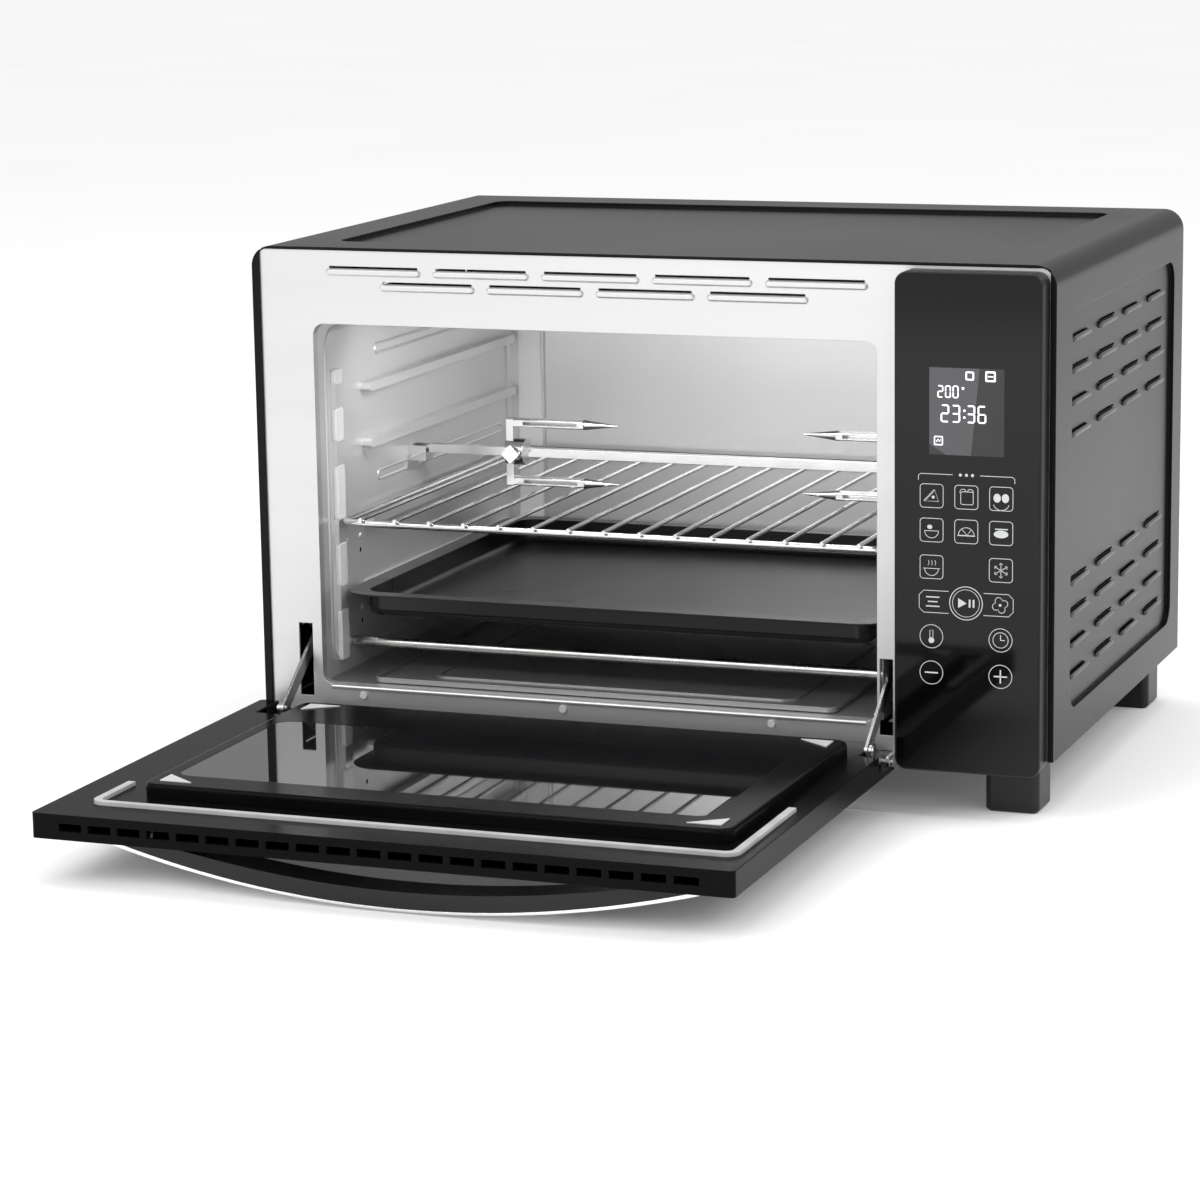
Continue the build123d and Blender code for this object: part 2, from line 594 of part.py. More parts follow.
def door_corner_clips():
    top = -DOOR_GAP + PLUG_T
    out = []
    for sx, x in ((1, PLUG_W[0] + 9), (-1, PLUG_W[1] - 9)):
        for sz, z in ((1, PLUG_H[0] + 9), (-1, PLUG_H[1] - 9)):
            face = Polyline((x, 0, z), (x + sx * 22, 0, z), (x, 0, z + sz * 16), close=True)
            clip = extrude(make_face(face), 0.7, dir=(0, 1, 0))
            out.append(opened(Pos(0, top, 0) * clip))
    return out


def door_seal():
    """Heat-proof cord along the top edge and part of the way down both sides."""
    y = (-DOOR_GAP, -0.5)
    left, right, top = -254.0, 169.0, 291.0
    outer = plate_front((left, right), y, (100, top), 9)
    outer -= plate_front((left + 5, right - 5), (-4, 1), (90, top - 5), 5)
    outer -= block((left - 5, 0), (-4, 1), (90, 238))
    outer -= block((0, right + 5), (-4, 1), (90, 178))
    return opened(outer)


def handle_arc(y, ends, depth, band):
    """Half-moon in plan, seen from the door's top edge: a flat back and a bowed front."""
    mid = (ends[0] + ends[1]) / 2
    bow = ThreePointArc((ends[0], y, 0), (mid, y - depth, 0), (ends[1], y, 0))
    chord = Line((ends[1], y, 0), (ends[0], y, 0))
    return Pos(0, 0, band[0]) * extrude(make_face([bow, chord]), band[1] - band[0], dir=(0, 0, 1))


def door_handle():
    y = -DOOR_GAP - DOOR_T
    body = handle_arc(y, HANDLE_W, HANDLE_OUT - 1.6, HANDLE_H)
    inner = (HANDLE_W[0] + 38, HANDLE_W[1] - 38)
    body -= handle_arc(y + 0.01, inner, HANDLE_OUT - HANDLE_BAND, (HANDLE_H[0] - 1, HANDLE_H[1] + 1))
    return opened(body)


def handle_trim():
    y = -DOOR_GAP - DOOR_T
    grow = 9.0
    outer = handle_arc(y, (HANDLE_W[0] - grow, HANDLE_W[1] + grow), HANDLE_OUT, HANDLE_H)
    outer -= handle_arc(y, HANDLE_W, HANDLE_OUT - 1.6, (HANDLE_H[0] - 1, HANDLE_H[1] + 1))
    return opened(outer)


def handle_screws():
    y = -DOOR_GAP - DOOR_T
    mid = (HANDLE_H[0] + HANDLE_H[1]) / 2
    places = (HANDLE_W[0] + 18, HANDLE_W[1] - 18)
    return [opened(rod_y(x, (y + 3.6, y + 6.4), mid, 4)) for x in places]


# ---- door hinges ----
def across(side, face, near, far):
    """An x range that starts near and ends far from the bracket's face, outward on that side."""
    return sorted((face + side * near, face + side * far))


def hinge_bracket(side, face):
    x = across(side, face, 0, 2.2)
    cheek = bar_side(x, (PIVOT_Y, PIVOT_H), ARM_PIN, 3.9)
    foot = block(x, (-DOOR_GAP - 11.0, -DOOR_GAP - 4.5), (0, 29))
    holes = [rod_x((x[0] - 1, x[1] + 1), PIVOT_Y, PIVOT_H, PIN_R + 0.06)]
    holes.append(rod_x((x[0] - 1, x[1] + 1), *ARM_PIN, 2.06))
    return opened(cheek + foot - holes)


def arm_pin(side, face):
    shank = rod_x(across(side, face, -3.4, 3.0), *ARM_PIN, 2.0)
    return opened(shank + rod_x(across(side, face, 2.25, 3.0), *ARM_PIN, 3.2))


def link_arm(side, face):
    start = opened_point(*ARM_PIN)
    end = (start[0] + ARM_FALL[0] * ARM_LENGTH, start[1] + ARM_FALL[1] * ARM_LENGTH)
    x = across(side, face, -2.4, -0.4)
    arm = bar_side(x, start, end, 4.6)
    arm -= [rod_x((x[0] - 1, x[1] + 1), *start, 2.06), rod_x((x[0] - 1, x[1] + 1), *end, 2.0)]
    return arm


def hinge_mount(side, face):
    x = across(side, face, 4.0, 6.5)
    web = bar_side(x, (PIVOT_Y, PIVOT_H), (3, PIVOT_H), 3.7)
    web += block(x, (0, 7.5), (PIVOT_H, 0))
    flange = block(across(side, face, -8.0, 6.5), (2.0, 7.5), (-1.2, 0.2))
    return web + flange - rod_x((x[0] - 1, x[1] + 1), PIVOT_Y, PIVOT_H, PIN_R)


def hinge_pin(side, face):
    return rod_x(across(side, face, -0.1, 8.2), PIVOT_Y, PIVOT_H, PIN_R)


def door_spring(side, face):
    """Tension spring beside the arm, with its hook by the arm's end and its anchor further back."""
    start = opened_point(*ARM_PIN)
    y0, z0 = start[0] + ARM_FALL[0] * ARM_LENGTH, start[1] + ARM_FALL[1] * ARM_LENGTH
    x = face + side * 9.0
    coil = Helix(pitch=4.4, height=88, radius=4.0)
    wire = sweep(Plane(coil @ 0, z_dir=coil % 0) * Circle(0.7), coil, is_frenet=True)
    spring = Pos(x, y0 + 14, z0) * Rot(-90, 0, 0) * wire
    ends = [rod_y(x, (y0 - 2, y0 + 14), z0 + 4.0, 0.7), rod_y(x, (y0 + 102, y0 + 122), z0 - 4.0, 0.7)]
    return [spring] + ends


def spring_anchor(side, face):
    start = opened_point(*ARM_PIN)
    y0, z0 = start[0] + ARM_FALL[0] * ARM_LENGTH, start[1] + ARM_FALL[1] * ARM_LENGTH
    x = face + side * 9.0
    tab = block((x - 5, x + 5), (y0 + 120, y0 + 121.5), (SHEET + 0.2, z0))
    return tab - rod_y(x, (y0 + 119, y0 + 123), z0 - 4.0, 0.8)


NODES = {
    "outer_shell": outer_shell,
    "back_cover": back_cover,
    "base_plate": base_plate,
    "feet": feet,
    "feet_screws": feet_screws,
    "back_screws": back_screws,
    "cord_inlet": cord_inlet,
    "front_frame": front_frame,
    "frame_rivets": frame_rivets,
    "liner_left_side": liner_left_side,
    "liner_right_side": liner_right_side,
    "liner_top": liner_top,
    "liner_bottom": liner_bottom,
    "liner_back": liner_back,
    "crumb_tray": crumb_tray,
    "heater_insulators": heater_insulators,
    "temperature_probe": temperature_probe,
    "thermal_cutout": thermal_cutout,
    "lamp_lens": lamp_lens,
    "lamp_holder": lamp_holder,
    "lamp_bulb": lamp_bulb,
    "wire_rack": wire_rack,
    "baking_tray": baking_tray,
    "spit_bracket": spit_bracket,
    "spit_rod": spit_rod,
    "fork_screws": fork_screws,
    "spit_drive_socket": spit_drive_socket,
    "spit_motor": spit_motor,
    "fan_guard": fan_guard,
    "fan_housing": fan_housing,
    "fan_blade": fan_blade,
    "fan_motor": fan_motor,
    "control_bezel": control_bezel,
    "control_glass": control_glass,
    "display_module": display_module,
    "touch_board": touch_board,
    "bay_shield": bay_shield,
    "power_board": power_board,
    "door_frame": door_frame,
    "door_outer_glass": door_outer_glass,
    "door_inner_frame": door_inner_frame,
    "door_inner_glass": door_inner_glass,
    "door_corner_clips": door_corner_clips,
    "door_seal": door_seal,
    "door_handle": door_handle,
    "handle_trim": handle_trim,
    "handle_screws": handle_screws,
}

for node, build in NODES.items():
    save(node, build())

save("top_heating_elements", heaters(TOP_HEATERS))
save("bottom_heating_elements", heaters(BOTTOM_HEATERS))
save("spit_fork_left", spit_fork(FORK_L, 1))
save("spit_fork_right", spit_fork(FORK_R, -1))

for name, (side, face) in HINGES.items():
    save(f"hinge_bracket_{name}", hinge_bracket(side, face))
    save(f"link_arm_{name}", link_arm(side, face))
save("arm_pins", [arm_pin(*h) for h in HINGES.values()])
save("hinge_mounts", [hinge_mount(*h) for h in HINGES.values()])
save("hinge_pins", [hinge_pin(*h) for h in HINGES.values()])
save("door_springs", [piece for h in HINGES.values() for piece in door_spring(*h)])
save("spring_anchors", [spring_anchor(*h) for h in HINGES.values()])
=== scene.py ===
import json
import math

import bpy
from mathutils import Matrix, Vector

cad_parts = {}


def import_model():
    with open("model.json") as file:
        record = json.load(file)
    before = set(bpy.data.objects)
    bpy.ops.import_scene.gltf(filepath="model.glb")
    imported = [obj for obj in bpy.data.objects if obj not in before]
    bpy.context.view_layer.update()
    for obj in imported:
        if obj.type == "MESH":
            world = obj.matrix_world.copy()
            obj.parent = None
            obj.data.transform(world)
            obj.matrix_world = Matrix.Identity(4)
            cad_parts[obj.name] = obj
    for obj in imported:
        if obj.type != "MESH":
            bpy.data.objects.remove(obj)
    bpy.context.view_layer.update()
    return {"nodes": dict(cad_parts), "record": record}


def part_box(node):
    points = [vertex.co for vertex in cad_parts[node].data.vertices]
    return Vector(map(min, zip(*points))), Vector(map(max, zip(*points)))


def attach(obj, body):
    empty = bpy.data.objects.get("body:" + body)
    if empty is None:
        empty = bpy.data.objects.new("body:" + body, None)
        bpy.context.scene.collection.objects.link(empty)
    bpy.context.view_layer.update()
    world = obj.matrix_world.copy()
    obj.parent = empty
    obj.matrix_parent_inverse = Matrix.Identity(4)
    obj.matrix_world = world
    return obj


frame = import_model()

MM = 0.001
FLOOR_SIZE = 60.0
FLOOR_LIFT = 0.06
WORLD_LEVEL = 0.92           # as it lights
WORLD_GLOSSY = 0.50          # as metal and gloss reflect it
WORLD_SEEN = 1.05            # as the camera sees it
SOFTBOXES = {                # place, aim, size and power
    "key": ((-1.3, -1.9, 1.9), (0, -0.1, 0.15), (1.6, 1.2), 22),
    "front_fill": ((-0.3, -2.4, 0.9), (-0.05, 0.1, 0.2), (1.4, 1.0), 9),
    "top": ((0.1, 0.3, 2.3), (0, 0.1, 0.3), (2.2, 1.2), 12),
    "side_top": ((2.4, 0.1, 2.3), (0.28, 0.15, 0.28), (1.2, 1.6), 26),
}
CAMERA_PLACE = (0.8603, -2.3658, 0.6281)
CAMERA_YAW = 0.3637          # turned to the left of the oven's own depth
CAMERA_PITCH = -0.1973
CAMERA_ROLL = -0.0156
CAMERA_LENS = 114.7
CAMERA_SENSOR = 36.0


# ---- materials ----
class Nodes:
    """A material with a Principled shader, and short calls that add what feeds it."""

    def __init__(self, name):
        self.material = bpy.data.materials.new(name)
        self.material.use_nodes = True
        self.tree = self.material.node_tree
        self.shader = self.tree.nodes["Principled BSDF"]
        self.coords = self.tree.nodes.new("ShaderNodeTexCoord").outputs["Object"]

    def add(self, kind, **values):
        node = self.tree.nodes.new(kind)
        for key, value in values.items():
            setattr(node, key, value)
        return node

    def join(self, out, into):
        self.tree.links.new(out, into)

    def noise(self, scale, stretch=(1, 1, 1), detail=4.0):
        place = self.add("ShaderNodeMapping")
        place.inputs["Scale"].default_value = stretch
        self.join(self.coords, place.inputs["Vector"])
        tex = self.add("ShaderNodeTexNoise")
        tex.inputs["Scale"].default_value = scale
        tex.inputs["Detail"].default_value = detail
        self.join(place.outputs["Vector"], tex.inputs["Vector"])
        return tex.outputs["Fac"]

    def ramp(self, source, low, high, start=0.3, end=0.7):
        node = self.add("ShaderNodeMapRange")
        node.inputs["From Min"].default_value = start
        node.inputs["From Max"].default_value = end
        node.inputs["To Min"].default_value = low
        node.inputs["To Max"].default_value = high
        self.join(source, node.inputs["Value"])
        return node.outputs["Result"]

    def colours(self, source, dark, light):
        node = self.add("ShaderNodeMix", data_type="RGBA")
        node.inputs["A"].default_value = (*dark, 1)
        node.inputs["B"].default_value = (*light, 1)
        self.join(self.ramp(source, 0, 1), node.inputs["Factor"])
        self.join(node.outputs["Result"], self.shader.inputs["Base Color"])

    def bump(self, height, strength, depth, round_edges=0.0):
        node = self.add("ShaderNodeBump")
        node.inputs["Strength"].default_value = strength
        node.inputs["Distance"].default_value = depth
        self.join(height, node.inputs["Height"])
        if round_edges:
            bevel = self.add("ShaderNodeBevel", samples=4)
            bevel.inputs["Radius"].default_value = round_edges
            self.join(bevel.outputs["Normal"], node.inputs["Normal"])
        self.join(node.outputs["Normal"], self.shader.inputs["Normal"])

    def set(self, **values):
        for key, value in values.items():
            self.shader.inputs[key.replace("_", " ")].default_value = value


def surface(name, dark, light, rough, metallic=0.0, patches=9.0, stretch=(1, 1, 1),
            grain=900.0, bump=0.05, depth=0.0002, edge=0.0006, **sockets):
    """Opaque surface: slow colour drift, roughness drift, fine grain and softly rounded edges."""
    m = Nodes(name)
    m.set(Metallic=metallic, **sockets)
    drift = m.noise(patches, stretch, 2.0)
    m.colours(drift, dark, light)
    m.join(m.ramp(m.noise(patches * 1.7, stretch, 1.0), *rough), m.shader.inputs["Roughness"])
    m.bump(m.noise(grain, stretch, 2.0), bump, depth, edge)
    return m.material


def brushed(name, dark, light, rough, along=(0.02, 1, 1), **more):
    """Rolled sheet: faint streaks along one direction."""
    return surface(name, dark, light, rough, 1.0, 90.0, along, 900.0, 0.05, 0.00005, **more)


def glass(name, tint, rough, clear, ior=1.5, **more):
    m = Nodes(name)
    m.set(Metallic=0.0, IOR=ior, Transmission_Weight=clear, **more)
    smear = m.noise(14.0)
    m.colours(smear, tint, tuple(c * 1.25 for c in tint))
    m.join(m.ramp(smear, rough, rough + 0.02), m.shader.inputs["Roughness"])
    m.bump(m.noise(5.0, detail=1.0), 0.02, 0.0004)
    return m.material


def glowing(name, colour, strength):
    m = Nodes(name)
    m.colours(m.noise(400.0), tuple(c * 0.9 for c in colour), colour)
    m.set(Roughness=0.4, Emission_Color=(*colour, 1), Emission_Strength=strength)
    return m.material


MATERIALS = {
    "powder": surface("powder", (0.0045, 0.0045, 0.005), (0.006, 0.006, 0.0065), (0.25, 0.29),
                      patches=2.5, grain=2600.0, bump=0.10, depth=0.00008, edge=0.0012,
                      Specular_IOR_Level=0.5, IOR=1.22),
    "panel_steel": surface("panel_steel", (0.66, 0.66, 0.665), (0.69, 0.69, 0.695), (0.36, 0.39), 0.8,
                           30.0, (0.02, 1, 1), 900.0, 0.03, 0.00005),
    "liner_steel": surface("liner_steel", (0.76, 0.76, 0.765), (0.80, 0.80, 0.805), (0.34, 0.38), 0.62,
                           7.0, (1, 0.2, 1), 900.0, 0.02, 0.00005),
    "floor_steel": surface("floor_steel", (0.34, 0.34, 0.345), (0.40, 0.40, 0.405), (0.28, 0.34), 0.75,
                           7.0, (1, 0.2, 1), 900.0, 0.02, 0.00005),
    # steel much lighter than the liner's: a painted highlight on the cavity's folded edges
    "flange_painted_highlight": surface("flange_painted_highlight", (0.90, 0.90, 0.905), (0.94, 0.94, 0.945), (0.36, 0.42), 0.2, 20.0,
                      bump=0.02),
    # much lighter than the powder coat: a painted highlight on the crowns of the side louvre hoods
    "louvre_painted_highlight": surface("louvre_painted_highlight", (0.060, 0.060, 0.061), (0.078, 0.078, 0.079), (0.34, 0.42),
                            patches=20.0, grain=2600.0, bump=0.08, depth=0.00008, edge=0.0),
    "clip": surface("clip", (0.62, 0.62, 0.625), (0.72, 0.72, 0.725), (0.40, 0.48), 0.3, 40.0,
                    bump=0.03),
    "bright": surface("bright", (0.75, 0.75, 0.76), (0.86, 0.86, 0.87), (0.08, 0.18), 1.0, edge=0.0003),
    "zinc": surface("zinc", (0.42, 0.42, 0.43), (0.56, 0.56, 0.57), (0.25, 0.34), 1.0, 40.0, edge=0.0004),
    "heater": surface("heater", (0.42, 0.41, 0.40), (0.55, 0.54, 0.53), (0.22, 0.32), 1.0, 30.0, edge=0.0),
    "chrome": surface("chrome", (0.60, 0.60, 0.605), (0.68, 0.68, 0.685), (0.14, 0.20), 1.0, 30.0,
                      edge=0.0005),
    "enamel": surface("enamel", (0.005, 0.005, 0.0055), (0.007, 0.007, 0.0075), (0.26, 0.31), patches=4.0,
                      grain=1500.0, bump=0.04, depth=0.00008, edge=0.0008, Specular_IOR_Level=0.35),
    "door_black": surface("door_black", (0.003, 0.003, 0.0033), (0.0045, 0.0045, 0.005), (0.17, 0.21),
                          patches=3.0, grain=2200.0, bump=0.03, depth=0.00006, edge=0.0010,
                          Specular_IOR_Level=0.4, IOR=1.14),
    "plastic": surface("plastic", (0.005, 0.005, 0.0055), (0.008, 0.008, 0.0085), (0.34, 0.40), patches=5.0,
                       grain=1800.0, bump=0.12, edge=0.0010, Specular_IOR_Level=0.35),
    "rubber": surface("rubber", (0.40, 0.40, 0.405), (0.50, 0.50, 0.505), (0.5, 0.65), patches=60.0,
                      grain=1400.0, bump=0.3, edge=0.0008),
    "ceramic": surface("ceramic", (0.74, 0.71, 0.64), (0.84, 0.82, 0.77), (0.5, 0.6), bump=0.2),
    "board": surface("board", (0.01, 0.05, 0.025), (0.02, 0.09, 0.04), (0.35, 0.5), patches=80.0),
    "trim": brushed("trim", (0.80, 0.80, 0.81), (0.88, 0.88, 0.89), (0.14, 0.20), edge=0.0005),
    "door_glass": glass("door_glass", (0.002, 0.002, 0.0022), 0.03, 0.0),
    "inner_glass": glass("inner_glass", (0.008, 0.008, 0.009), 0.01, 0.0, 2.1, Specular_IOR_Level=0.6),
    "panel_glass": glass("panel_glass", (0.0015, 0.0015, 0.0017), 0.05, 0.0, 1.35),
    "lens": glass("lens", (0.85, 0.86, 0.86), 0.12, 0.7),
    "white_print": glowing("white_print", (0.55, 0.56, 0.57), 0.12),
    "digits": glowing("digits", (0.92, 0.95, 1.0), 1.1),
    "screen": surface("screen", (0.010, 0.010, 0.011), (0.016, 0.016, 0.017), (0.10, 0.16),
                      bump=0.01, edge=0.0),
    # lighter than the screen: a painted reflection across the display glass
    "screen_painted_reflection": surface("screen_painted_reflection", (0.055, 0.056, 0.06), (0.075, 0.076, 0.08), (0.12, 0.18),
                            bump=0.01, edge=0.0),
}

BY_SLOT = {
    "black_powder_coat": "powder", "light_steel": "liner_steel", "bright_fasteners": "bright",
    "hinge_steel": "zinc", "heater_tube": "heater", "ceramic_ends": "ceramic", "rack_chrome": "chrome",
    "tray_enamel": "enamel", "door_black": "door_black", "door_glass": "door_glass",
    "inner_glass": "inner_glass", "panel_glass": "panel_glass", "black_plastic": "plastic",
    "trim_steel": "trim", "seal_rubber": "rubber", "electronics": "board",
}
BY_NODE = {
    "front_frame": "panel_steel", "lamp_lens": "lens", "lamp_bulb": "lens",
    "door_corner_clips": "clip", "frame_rivets": "clip",
    "liner_bottom": "floor_steel", "crumb_tray": "floor_steel",
}


def dress_frame():
    for part in frame["record"]["subparts"]:
        node = frame["nodes"][part["node"]]
        chosen = MATERIALS[BY_NODE.get(part["node"], BY_SLOT[part["material_slot"]])]
        for place in node.material_slots:
            place.material = chosen


# ---- mesh helpers ----
def piece(name, verts, faces, material, body):
    mesh = bpy.data.meshes.new(name)
    mesh.from_pydata(verts, [], faces)
    mesh.materials.append(MATERIALS[material])
    obj = bpy.data.objects.new(name, mesh)
    bpy.context.scene.collection.objects.link(obj)
    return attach(obj, body)


def smooth_piece(name, verts, faces, material, body):
    obj = piece(name, verts, faces, material, body)
    obj.data.polygons.foreach_set("use_smooth", [True] * len(faces))
    return obj


def rounded(a, b, corner, steps=6):
    """Closed rounded rectangle between the corners a and b, as points of its own plane."""
    points = []
    for k, (u, v) in enumerate(((b[0], b[1]), (a[0], b[1]), (a[0], a[1]), (b[0], a[1]))):
        cu = u - corner if u == b[0] else u + corner
        cv = v - corner if v == b[1] else v + corner
        for i in range(steps + 1):
            t = math.radians(90 * k + 90 * i / steps)
            points.append((cu + corner * math.cos(t), cv + corner * math.sin(t)))
    return points


def rib(verts, faces, path, out, width, proud):
    """A pressed rib of arched section that follows a closed path on a wall; out is the wall's normal."""
    start, count = len(verts), len(path)
    arch = ((-0.5, 0.0), (-0.3, 0.72), (0.0, 1.0), (0.3, 0.72), (0.5, 0.0))
    for i, point in enumerate(path):
        across = out.cross((path[(i + 1) % count] - path[i - 1]).normalized())
        verts += [point + across * (w * width) + out * (h * proud) for w, h in arch]
    for i in range(count):
        a, b = start + 5 * i, start + 5 * ((i + 1) % count)
        faces += [(a + k, a + k + 1, b + k + 1, b + k) for k in range(4)]


def dome(verts, faces, centre, out, side, r, proud):
    """A shallow round dimple that stands out from a wall; side is any direction along the wall."""
    start, around = len(verts), 14
    other = out.cross(side)
    rings = ((1.0, 0.0), (0.85, 0.5), (0.5, 0.86))
    for scale, lift in rings:
        for i in range(around):
            t = math.radians(360 * i / around)
            spoke = (side * math.cos(t) + other * math.sin(t)) * (r * scale)
            verts.append(centre + spoke + out * (lift * proud))
    for ring in range(2):
        for i in range(around):
            a, b = start + around * ring + i, start + around * ring + (i + 1) % around
            faces.append((a, b, b + around, a + around))
    verts.append(centre + out * proud)
    last = start + 2 * around
    faces += [(last + i, last + (i + 1) % around, len(verts) - 1) for i in range(around)]


THIN_LINE = 0.42             # usual width of a printed line, in mm
PRINT_LIFT = 0.08 * MM       # print off the glass, and the display's digits off the print


class Print:
    """Thin print on the control glass: x to the right and z up, in mm from its middle and lower edge."""

    def __init__(self, middle, low, front):
        self.middle, self.low, self.front = middle, low, front
        self.verts, self.faces = [], []

    def point(self, x, z):
        self.verts.append((self.middle + x * MM, self.front, self.low + z * MM))
        return len(self.verts) - 1

    def face(self, points):
        self.faces.append([self.point(x, z) for x, z in points])

    def stroke(self, points, width=THIN_LINE, closed=False):
        """A line of even width through the points, mitred at its corners."""
        count = len(points)
        sides = []
        for i, (x, z) in enumerate(points):
            before = points[i - 1] if i or closed else points[i]
            after = points[(i + 1) % count] if i < count - 1 or closed else points[i]
            way = Vector((after[0] - before[0], after[1] - before[1])).normalized()
            step = Vector((-way.y, way.x)) * width / 2
            sides.append((self.point(x + step.x, z + step.y), self.point(x - step.x, z - step.y)))
        for i in range(count if closed else count - 1):
            a, b = sides[i], sides[(i + 1) % count]
            self.faces.append([a[0], a[1], b[1], b[0]])

    def arc(self, x, z, r, start=0, end=360, width=THIN_LINE):
        steps = max(8, int(abs(end - start) / 10))
        turns = [math.radians(start + (end - start) * i / steps) for i in range(steps + 1)]
        self.stroke([(x + r * math.cos(t), z + r * math.sin(t)) for t in turns], width)

    def square(self, x, z, half, corner, width=THIN_LINE):
        points = []
        for k, (sx, sz) in enumerate(((1, 1), (-1, 1), (-1, -1), (1, -1))):
            for i in range(7):
                t = math.radians(90 * k + 15 * i)
                cx, cz = x + sx * (half - corner), z + sz * (half - corner)
                points.append((cx + corner * math.cos(t), cz + corner * math.sin(t)))
        self.stroke(points, width, True)

    def blob(self, x, z, rx, rz):
        turns = [math.radians(20 * i) for i in range(18)]
        self.face([(x + rx * math.cos(t), z + rz * math.sin(t)) for t in turns])

    def piece(self, name, material):
        return piece(name, self.verts, self.faces, material, "body")


SEGMENTS = {"0": "abcdef", "2": "abged", "3": "abgcd", "6": "afgedc"}


def digit(ink, char, x, z, wide, high, thick):
    """One seven-segment digit whose lower left corner is x, z."""
    mid, gap = z + high / 2, thick * 0.12
    flat = {"a": z + high, "g": mid, "d": z}
    upright = {"f": (x, mid), "b": (x + wide, mid), "e": (x, z), "c": (x + wide, z)}
    for name in SEGMENTS[char]:
        h = thick / 2
        if name in flat:
            y = flat[name]
            left, right = x + gap, x + wide - gap
            upper_side = [(left, y), (left + h, y + h), (right - h, y + h)]
            ink.face(upper_side + [(right, y), (right - h, y - h), (left + h, y - h)])
        else:
            cx, foot = upright[name]
            low, top = foot + gap, foot + high / 2 - gap
            right_side = [(cx, low), (cx + h, low + h), (cx + h, top - h)]
            ink.face(right_side + [(cx, top), (cx - h, top - h), (cx - h, low + h)])


# ---- control column ----
COLUMN = 22.85               # icon columns, either side of the middle one
ICON_ROWS = (179.6, 157.4, 133.4)
PILL_ROW = 110.8
LOW_ROWS = (88.0, 64.2)
ICON_HALF = 7.6


def food_icons(ink):
    """Six food pictures, drawn as simple generic shapes inside their squares."""
    top, low = ICON_ROWS[0], ICON_ROWS[1]
    ink.stroke([(-COLUMN - 5, top - 3.5), (-COLUMN + 4.5, top - 3.5), (-COLUMN + 2, top + 4)], closed=True)
    ink.stroke([(-COLUMN - 5, top - 3.5), (-COLUMN + 2, top + 4)], 0.9)
    ink.blob(-COLUMN + 1, top - 0.8, 1, 1)
    ink.square(0.4, top - 0.6, 4.1, 1.2)
    ink.arc(-2.2, top + 3.2, 2.0, 20, 200)
    ink.arc(2.6, top + 3.2, 2.0, -20, 160)
    for dx in (-2.7, 2.7):
        ink.blob(COLUMN + dx, top + 0.4, 2.4, 2.9)
    ink.arc(COLUMN, top - 2, 5.4, 200, 340)
    ink.arc(-COLUMN, low - 0.5, 4.6, 180, 360)
    ink.stroke([(-COLUMN - 4.8, low - 0.5), (-COLUMN + 4.8, low - 0.5)])
    ink.blob(-COLUMN - 1.2, low + 2, 1.7, 1.4)
    ink.arc(0, low - 2.6, 5.2, 0, 180)
    ink.stroke([(-5.8, low - 2.6), (5.8, low - 2.6)], 0.7)
    ink.stroke([(-3, low + 1.6), (0.5, low - 2.4), (3, low + 1)])
    ink.blob(COLUMN, low - 0.6, 4.8, 2.5)
    ink.stroke([(COLUMN - 4, low + 2.6), (COLUMN + 4.4, low + 2.6)], 0.8)


def mode_icons(ink):
    """A steaming dish and a snowflake."""
    row = ICON_ROWS[2]
    ink.arc(-COLUMN, row - 1, 4.6, 180, 360)
    ink.stroke([(-COLUMN - 5.6, row - 1), (-COLUMN + 5.6, row - 1)])
    for dx in (-2.2, 0, 2.2):
        x = -COLUMN + dx
        ink.stroke([(x, row + 1), (x + 0.6, row + 2.6), (x, row + 4.4)], 0.35)
    for i in range(6):
        t = math.radians(60 * i + 30)
        ink.stroke([(COLUMN, row), (COLUMN + 5 * math.cos(t), row + 5 * math.sin(t))])
        x, z = COLUMN + 3.6 * math.cos(t), row + 3.6 * math.sin(t)
        ink.arc(x, z, 1.0, 60 * i - 60, 60 * i + 120, 0.3)


def pill(ink):
    """Wide button in three parts: bars for the mode, a start and stop mark, and a fan."""
    half, z = 31.0, PILL_ROW
    for side in (-1, 1):
        ends = [(side * 11.5, z + 7.2), (side * (half - 3), z + 7.2), (side * half, z + 4.2)]
        ends += [(side * half, z - 4.2), (side * (half - 3), z - 7.2), (side * 11.5, z - 7.2)]
        ink.stroke(ends)
    for i, wide in enumerate((9.0, 6.5, 9.0)):
        ink.stroke([(-22 - wide / 2, z + 3 - 3 * i), (-22 + wide / 2, z + 3 - 3 * i)], 0.8)
    ink.arc(0, z, 10.8, width=0.55)
    ink.arc(0, z, 8.9, width=0.35)
    ink.face([(-5.2, z - 3.2), (0.4, z), (-5.2, z + 3.2)])
    ink.face([(1.8, z - 2.6), (3.0, z - 2.6), (3.0, z + 2.6), (1.8, z + 2.6)])
    ink.face([(4.4, z - 2.6), (5.6, z - 2.6), (5.6, z + 2.6), (4.4, z + 2.6)])
    for i in range(4):
        t = math.radians(90 * i + 20)
        blade_x, blade_z = COLUMN - 0.4 + 2.9 * math.cos(t), z + 2.9 * math.sin(t)
        ink.arc(blade_x, blade_z, 2.3, 90 * i - 70, 90 * i + 130, 0.4)
    ink.blob(COLUMN - 0.4, z, 0.9, 0.9)


